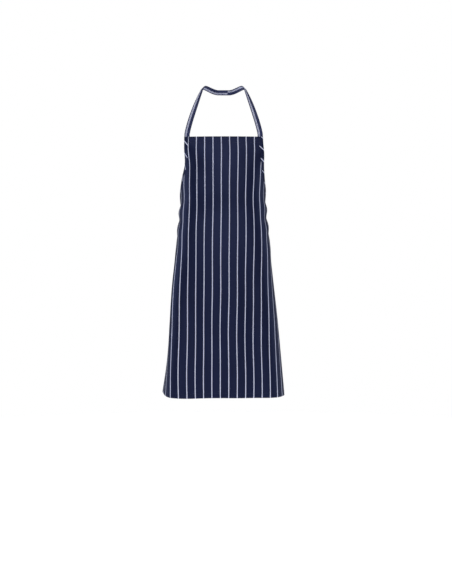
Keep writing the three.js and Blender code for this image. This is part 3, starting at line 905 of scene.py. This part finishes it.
# Each lamp's name, place, aim, width, watts and colour.
LAMPS = (
    ("key", (-0.15, -3.1, 0.58), (0, BIB_Y, -0.35), 0.8, 38, (0.97, 0.98, 1)),
    ("left", (2.4, 0.2, -0.2), (0, 0, -0.55), 1.4, 10, (0.6, 0.72, 1)),
    ("right", (-2.4, 0.2, -0.2), (0, 0, -0.55), 1.4, 14, (0.6, 0.72, 1)),
    ("back", (0.4, 3.2, 0.9), (0, 0, -0.5), 1.4, 30, (0.92, 0.96, 1)),
    ("top", (0, 0, 3.0), (0, 0, -1.5), 2.4, 40, (1, 1, 1)),
)


class APRON_OT_stage(bpy.types.Operator):
    """Set up the camera, the floor and the lights"""

    bl_idname = "apron.stage"
    bl_label = "Stage"

    def execute(self, context):
        size = context.scene.apron_stage
        camera = bpy.data.objects.new("camera", bpy.data.cameras.new("camera"))
        camera.data.lens = size.lens
        camera.location = (size.aside, BIB_Y - size.distance, size.height)
        camera.rotation_euler = (math.pi / 2, 0, 0)
        context.scene.collection.objects.link(camera)
        context.scene.camera = camera
        self.floor(size)
        for lamp in LAMPS:
            self.lamp(context, *lamp)
        self.daylight(context)
        context.scene.view_settings.view_transform = "Standard"
        return {"FINISHED"}

    def floor(self, size):
        """A round pale floor."""
        turn = np.linspace(0, 2 * math.pi, 97)[:-1]
        points = np.stack((2.6 * np.cos(turn), 0.9 + 2.6 * np.sin(turn), np.full(96, size.floor)), -1)
        finish = Finish(
            "Pale floor", Base_Color=(0.85, 0.85, 0.85, 1), Roughness=0.9, Emission_Color=(1, 1, 1, 1),
            Emission_Strength=0.7)
        piece("floor", points, [list(range(96))], material=finish.material)

    def daylight(self, context):
        """A white room, which lights the apron less than it shows."""
        world = bpy.data.worlds.new("studio")
        world.use_nodes = True
        nodes, links = world.node_tree.nodes, world.node_tree.links
        room = nodes["Background"]
        room.inputs[0].default_value = (1, 1, 1, 1)
        seen = nodes.new("ShaderNodeMapRange")
        seen.inputs["To Min"].default_value = 0.16
        links.new(nodes.new("ShaderNodeLightPath").outputs["Is Camera Ray"], seen.inputs["Value"])
        links.new(seen.outputs[0], room.inputs[1])
        context.scene.world = world

    def lamp(self, context, name, place, aim, width, watts, colour):
        lamp = bpy.data.lights.new(name, "AREA")
        lamp.shape, lamp.size, lamp.energy, lamp.color = "DISK", width, watts, colour
        light = bpy.data.objects.new(name, lamp)
        light.location = place
        away = np.array(place) - np.array(aim)
        across = math.hypot(away[0], away[1])
        light.rotation_euler = (math.atan2(across, away[2]), 0, math.atan2(away[0], -away[1]))
        context.scene.collection.objects.link(light)


class APRON_OT_panel(bpy.types.Operator):
    """Make the bib and skirt, which are one piece of cloth, and its hems"""

    bl_idname = "apron.panel"
    bl_label = "Panel and hems"

    def execute(self, context):
        scene = context.scene
        cloth = scene.apron_cloth
        drape = Drape(cloth)
        material = made_once("Pinstriped twill", panel_twill)
        panel = self.panel(drape, cloth, material)
        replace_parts(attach(panel, "panel"), "apron_panel")
        for name, edge, depth, cover in self.edges(drape, cloth):
            hem = self.hem(name, drape, edge, depth, cover, material)
            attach(hem, "panel")
        bib = 2 * (drape.half * cloth.armhole_depth - math.pi / 4 * drape.widening * cloth.armhole_depth)
        area = bib + cloth.panel_width * (cloth.panel_length - cloth.armhole_depth)
        return {"FINISHED"}

    def panel(self, drape, cloth, material):
        inset, step = 0.00035, cloth.mesh_step
        angles = np.linspace(0, math.pi / 2, 64)
        armhole_down = inset + (cloth.armhole_depth - inset) * np.sin(angles)
        armhole_half = drape.half - drape.widening * np.cos(angles)
        skirt_rows = int((drape.length - cloth.armhole_depth) / step)
        skirt_down = np.linspace(cloth.armhole_depth, drape.length - inset, skirt_rows)[1:]
        down = np.concatenate((armhole_down, skirt_down))
        half = np.concatenate((armhole_half, np.full(len(skirt_down), drape.half))) - inset
        columns = 2 * int(drape.half / step) + 1
        across = np.linspace(-1, 1, columns)[None, :] * half[:, None]
        down = np.broadcast_to(down[:, None], across.shape)
        front = drape.place(across, down, cloth.thickness / 2)
        back = drape.place(across, down, -cloth.thickness / 2)
        rows = len(across)
        grid = sheet_faces(rows, columns)
        count = rows * columns
        loop = list(range(columns)) + [columns * j + columns - 1 for j in range(1, rows)]
        loop += [count - 1 - i for i in range(1, columns)] + [columns * j for j in range(rows - 2, 0, -1)]
        rim = [(a, b, b + count, a + count) for a, b in zip(loop, loop[1:] + loop[:1])]
        faces = np.concatenate((grid, grid[:, ::-1] + count, rim))
        flat = np.stack((across, down), -1).reshape(-1, 2)
        uvs = np.concatenate((flat, flat))[faces.ravel()]
        points = np.concatenate((front.reshape(-1, 3), back.reshape(-1, 3)))
        return piece("apron_cloth", points, faces, uvs, material)

    def edges(self, drape, cloth):
        """Each hem: its name, its edge and inward direction, its depth, and 1 where it covers another."""
        half, length = drape.half, drape.length
        wide = np.linspace(-1, 1, 201)
        tall = np.linspace(cloth.armhole_depth + 0.0005, length - 0.0008, 170)
        still = np.zeros_like(wide)
        yield "hem_top", (wide * (drape.half_bib - 0.0005), still, still, still + 1), cloth.top_hem, still
        corner = over_side_hem(cloth, np.abs(wide) * half)
        yield "hem_bottom", (wide * half, still + length, still, still - 1), cloth.bottom_hem, corner
        none = np.zeros_like(tall)
        for side, hand in SIDES:
            yield f"hem_side_{hand}", (none + side * half, tall, none - side, none), cloth.side_hem, none

    def hem(self, name, drape, edge, depth, cover, material):
        """A fold of the cloth's edge, with its section in millimetres, inward and outward."""
        across, down, inward_across, inward_down = edge
        end = depth / MM
        section = (
            (0.36, 0.3), (0.1, 0.27), (-0.12, 0.06), (-0.2, -0.33), (-0.12, -0.72), (0.1, -0.93),
            (0.6, -0.99), (end / 2, -0.99), (end - 0.4, -0.96), (end, -0.68), (end - 0.4, -0.4),
            (end / 2, -0.38), (0.6, -0.37), (0.36, -0.3))
        rings, uvs = [], []
        for inward, out in section:
            deeper = cover * np.where(inward > 0.5, HEM_LAYER, 0.0003) if out < -0.31 else 0
            step = inward * MM
            at = across + inward_across * step, down + inward_down * step
            rings.append(drape.place(*at, out * MM - deeper))
            folded = -step if out < -0.31 else step
            uvs.append(np.stack((across + inward_across * folded, down + inward_down * folded), -1))
        uvs.append(uvs[0])
        return loft(name, np.stack(rings, 1), np.stack(uvs, 1), material)


class APRON_OT_bindings(bpy.types.Operator):
    """Fold the bias bindings over the armhole edges"""

    bl_idname = "apron.bindings"
    bl_label = "Armhole bindings"

    def execute(self, context):
        cloth = context.scene.apron_cloth
        drape = Drape(cloth)
        material = made_once("Bias binding", bias_twill)
        for side, hand in SIDES:
            binding = self.binding(f"bias_binding_{hand}", drape, cloth, side, material)
            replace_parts(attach(binding, "panel"), f"armhole_binding_{hand}")
        return {"FINISHED"}

    def binding(self, name, drape, cloth, side, material):
        """A strip folded over the armhole's edge, with its section in millimetres, inward and outward."""
        share = np.concatenate((np.linspace(0, 0.94, 110), np.linspace(0.95, 1, 24)))
        across, down, inward = drape.armhole(share)
        width = cloth.binding_width / MM
        over = over_hem(cloth, across, down)
        section = (
            (width - 0.5, 0.36), (width, 0.7), (width - 0.5, 1.12), (width - 1.8, 1.04), (width - 2.6, 1.1),
            (width * 0.6, 1.08), (width * 0.3, 1.06), (0.6, 1.0), (-0.3, 0.75), (-0.75, 0.1), (-0.75, -0.5),
            (-0.3, -1.05), (0.6, -1.2), (width * 0.3, -1.22), (width * 0.6, -1.22), (width - 2.6, -1.24),
            (width - 1.8, -1.16), (width - 0.5, -1.24), (width, -0.8), (width - 0.5, -0.4),
            (width * 0.5, -0.38), (0.8, -0.38), (0.2, -0.2), (0.2, 0.2), (0.8, 0.36), (width * 0.5, 0.36))
        run = np.concatenate(((0,), np.cumsum(np.hypot(np.diff(across), np.diff(down)))))
        first = BINDING_START[side]
        rings, uvs = [], []
        for inner, out in section:
            deeper = BINDING_LAYER * over if out < -0.3 else 0
            step = inner * MM
            x = side * (across + inward[:, 0] * step)
            y = np.maximum(down + inward[:, 1] * step, -0.0004)
            rings.append(drape.place(x, y, out * MM - deeper))
            uvs.append(np.stack((side * np.where(out < -0.3, -1, 1) * step + 0 * run, run + first), -1))
        uvs.append(uvs[0])
        return loft(name, np.stack(rings, 1), np.stack(uvs, 1), material)


class APRON_OT_neck_straps(bpy.types.Operator):
    """Make the two neck tapes, sewn behind the bib and lapped at the nape"""

    bl_idname = "apron.neck_straps"
    bl_label = "Neck straps"

    def execute(self, context):
        for side, hand in SIDES:
            strap = sewn_tape(
                f"neck_tape_{hand}", f"neck_tape_stitches_{hand}", neck_route(context.scene, side),
                f"neck_strap_{hand}", f"neck_strap_end_{hand}")
            for made in strap:
                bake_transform(made)
        return {"FINISHED"}


class APRON_OT_waist_ties(bpy.types.Operator):
    """Make the two waist ties, from the panel's side corners to the knot"""

    bl_idname = "apron.waist_ties"
    bl_label = "Waist ties"

    def execute(self, context):
        for side, hand in SIDES:
            tie = sewn_tape(
                f"waist_tape_{hand}", f"waist_tape_stitches_{hand}", waist_route(context.scene, side),
                f"waist_tie_{hand}", f"waist_tie_end_{hand}")
            for made in tie:
                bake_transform(made)
        return {"FINISHED"}


class APRON_OT_bow(bpy.types.Operator):
    """Tie the bow: its knot, two loops and two tails"""

    bl_idname = "apron.bow"
    bl_label = "Bow"

    def execute(self, context):
        scene = context.scene
        for made in self.knot(scene, made_once("Folded tape", tape_twill)):
            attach(made, "waist_band")
            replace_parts(made, "waist_bow_knot")
        for side, hand in SIDES:
            loop, tail = f"bow_loop_{hand}", f"bow_tail_{hand}"
            for made in sewn_tape(
                    loop, loop + "_stitches", loop_route(scene, side), f"waist_bow_loop_{hand}"):
                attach(made, "waist_band")
            for made in sewn_tape(
                    tail, tail + "_stitches", tail_route(scene, side), f"waist_tie_tail_{hand}"):
                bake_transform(made)
        return {"FINISHED"}

    def knot(self, scene, material):
        """The tape wrapped round the middle of the bow, and the gathered cloth inside it."""
        centre = knot_middle()
        turn = np.linspace(0, 2 * math.pi, 73)[:-1]
        lean = 0.0022 * np.sin(turn)
        middle = np.stack((lean, (KNOT[1] - 0.0016) * np.cos(turn), (KNOT[2] - 0.0016) * np.sin(turn)), -1)
        along = unit(np.roll(middle, -1, 0) - np.roll(middle, 1, 0))
        out = np.stack((0 * turn, np.cos(turn) / KNOT[1], np.sin(turn) / KNOT[2]), -1)
        gather = 0.0145 + 0.0012 * np.sin(2 * turn + 0.5)
        wrap = tape(
            "bow_knot_wrap", middle + centre, along, out, scene.apron_tape, material, gather,
            closed_path=True)
        lengths = np.linspace(-1, 1, 25)
        around = np.linspace(0, 2 * math.pi, 41)
        rings = []
        for x in lengths:
            swell = math.sqrt(max(1 - x ** 4, 0.12))
            crease = 1 + 0.11 * np.cos(7 * around[:-1] + 3 * x)
            rings.append(centre + np.stack((
                np.full(40, x * 0.0108), 0.0066 * swell * crease * np.cos(around[:-1]),
                0.0086 * swell * crease * np.sin(around[:-1])), -1))
        uvs = [np.stack((0.01 + around * 0.007, np.full(41, x * 0.01)), -1) for x in lengths]
        core = loft("bow_knot_core", rings, uvs, material)
        return wrap, core


class APRON_OT_seams(bpy.types.Operator):
    """Stitch the hems and the bindings, and work the bar tacks"""

    bl_idname = "apron.seams"
    bl_label = "Seams and bar tacks"

    def execute(self, context):
        scene = context.scene
        drape, cloth = Drape(scene.apron_cloth), scene.apron_cloth
        thread = made_once("Sewing thread", sewing_thread)
        hems = stitched("hem_stitches", self.hem_rows(drape, cloth), thread)
        bindings = stitched("binding_stitches", self.binding_rows(drape, cloth), thread)
        for made in (hems, bindings):
            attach(made, "panel")
        for side, hand in SIDES:
            self.neck_tack(scene, drape, side, hand, thread)
            self.waist_tack(scene, drape, side, hand, thread)
            self.nape_tack(hand, thread)
        return {"FINISHED"}

    def row(self, drape, across, down, out):
        face = 1 if out > 0 else -1
        return drape.place(across, down, out), drape.outward(across, down) * face

    def hem_rows(self, drape, cloth):
        front, back, line = 0.00036, -0.00106, 0.002
        wide = np.linspace(-1, 1, 240)
        tall = np.linspace(cloth.armhole_depth + cloth.binding_width + 0.001, drape.length - 0.001, 200)
        rows = []
        for out in (front, back):
            half = drape.half_bib - cloth.binding_width - 0.001
            rows.append(self.row(drape, wide * half, 0 * wide + cloth.top_hem - line, out))
            corner = over_side_hem(cloth, np.abs(wide) * drape.half)
            deep = out if out > 0 else out - HEM_LAYER * corner
            foot = drape.length - cloth.bottom_hem + line
            points = drape.place(wide * (drape.half - 0.0008), 0 * wide + foot, deep)
            rows.append((points, drape.outward(wide * drape.half, 0 * wide + foot) * (1 if out > 0 else -1)))
            for side, _ in SIDES:
                beside = 0 * tall + side * (drape.half - cloth.side_hem + line)
                rows.append(self.row(drape, beside, tall, out))
        return rows

    def binding_rows(self, drape, cloth):
        share = np.linspace(0.004, 0.996, 200)
        across, down, inward = drape.armhole(share)
        step = cloth.binding_width - 0.0018
        over = over_hem(cloth, across, down)
        rows = []
        for side, _ in SIDES:
            x, y = side * (across + inward[:, 0] * step), down + inward[:, 1] * step
            rows.append((drape.place(x, y, 0.0011), drape.outward(x, y)))
            rows.append((drape.place(x, y, -0.00124 - BINDING_LAYER * over), -drape.outward(x, y)))
        return rows

    def bar(self, name, middle, long, out, node, body, thread):
        """A bar tack: close threads laid side by side across a line."""
        long, out = unit(np.array(long, float)), unit(np.array(out, float))
        cross = np.cross(out, long)
        rows = []
        half = 0.008
        for share in np.linspace(-1, 1, 54):
            centre = middle + long * share * half
            ends = np.stack((centre - cross * 0.0009, centre + cross * 0.0009))
            rows.append((ends, np.stack((out, out))))
        run = long * np.linspace(-half, half, 12)[:, None]
        lines = [(middle + run + cross * aside, np.tile(out, (12, 1))) for aside in (-0.0004, 0.0004)]
        made = stitched(name, rows, thread, pitch=0.0018, length=0.0017, width=0.0005)
        under = stitched(name + "_underlay", lines, thread, pitch=0.0028, length=0.0026, width=0.0004)
        for part in (made, under):
            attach(part, body)
        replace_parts(made, node)

    def neck_tack(self, scene, drape, side, hand, thread):
        across = side * (drape.half_bib - scene.apron_tape.inset)
        down = scene.apron_tape.neck_sewn / 2
        out = -drape.outward(across, down)
        middle = drape.place(across, down, -BEHIND_CLOTH - 0.0008)
        self.bar(f"neck_tack_{hand}", middle, (1, 0, 0), out, f"neck_bar_tack_{hand}", "panel", thread)

    def waist_tack(self, scene, drape, side, hand, thread):
        across = side * (drape.half - scene.apron_tape.waist_sewn + 0.016)
        out = -drape.outward(across, tie_down(scene))
        middle = drape.place(across, tie_down(scene), -BEHIND_CLOTH - 0.0008)
        self.bar(f"waist_tack_{hand}", middle, (0, 0, 1), out, f"waist_bar_tack_{hand}", "panel", thread)

    def nape_tack(self, hand, thread):
        low, high = (np.array(c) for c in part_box(f"nape_bar_tack_{hand}"))
        middle = (low + high) / 2
        middle[1] = 0.0037
        self.bar(f"nape_tack_{hand}", middle, (0, 0, 1), (0, 1, 0), f"nape_bar_tack_{hand}", "halter", thread)


class APRON_OT_label(bpy.types.Operator):
    """Make the blank care label inside the left side seam"""

    bl_idname = "apron.label"
    bl_label = "Care label"

    def execute(self, context):
        scene = context.scene
        drape, cloth = Drape(scene.apron_cloth), scene.apron_cloth
        top = cloth.armhole_depth + 0.06
        depth, height = 0.0275, 0.045
        rows = np.linspace(top, top + height, 40)
        nose = np.linspace(-math.pi / 2, math.pi / 2, 9)
        half_thick = 0.00025
        reach = np.linspace(0, depth, 24)
        rings, uvs = [], []
        for down in rows:
            curl = 0.0012 * smooth((down - top - 0.02) / 0.03)
            lift = 0.0018 + curl * (reach / depth) ** 2
            outer = np.stack((reach, lift), -1)
            inner = np.stack((reach[::-1], lift[::-1] + 2 * half_thick), -1)
            middle = lift[-1] + half_thick
            tip = np.stack((reach[-1] + half_thick * np.cos(nose), middle + half_thick * np.sin(nose)), -1)
            section = np.concatenate((outer, tip, inner))
            across = drape.half - 0.0015 - section[:, 0]
            rings.append(drape.place(across, np.full(len(section), down), -section[:, 1]))
            uvs.append(np.stack((np.append(across, across[0]), np.full(len(section) + 1, down)), -1))
        label = loft("care_tag", rings, uvs, made_once("Label satin", label_satin))
        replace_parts(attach(label, "panel"), "care_label")
        return {"FINISHED"}


class APRON_PT_pieces(bpy.types.Panel):
    """Lists the apron's pieces in the order in which they are made"""

    bl_idname = "APRON_PT_pieces"
    bl_label = "Butcher's apron"
    bl_space_type = "VIEW_3D"
    bl_region_type = "UI"
    bl_category = "Apron"

    def draw(self, context):
        for operator in OPERATORS:
            self.layout.operator(operator.bl_idname)
        for setting in SETTINGS:
            group = getattr(context.scene, setting)
            box = self.layout.box()
            for key in group.__annotations__:
                box.prop(group, key)


OPERATORS = (
    APRON_OT_stage, APRON_OT_panel, APRON_OT_bindings, APRON_OT_neck_straps,
    APRON_OT_waist_ties, APRON_OT_bow, APRON_OT_seams, APRON_OT_label,
)


def register():
    for made in (*SETTINGS.values(), *OPERATORS, APRON_PT_pieces):
        bpy.utils.register_class(made)
    for name, group in SETTINGS.items():
        setattr(bpy.types.Scene, name, bpy.props.PointerProperty(type=group))


def unregister():
    for name in SETTINGS:
        delattr(bpy.types.Scene, name)
    for made in reversed((*SETTINGS.values(), *OPERATORS, APRON_PT_pieces)):
        bpy.utils.unregister_class(made)


def main():
    register()
    for operator in OPERATORS:
        group, name = operator.bl_idname.split(".")
        getattr(getattr(bpy.ops, group), name)()


if __name__ == "__main__":
    main()
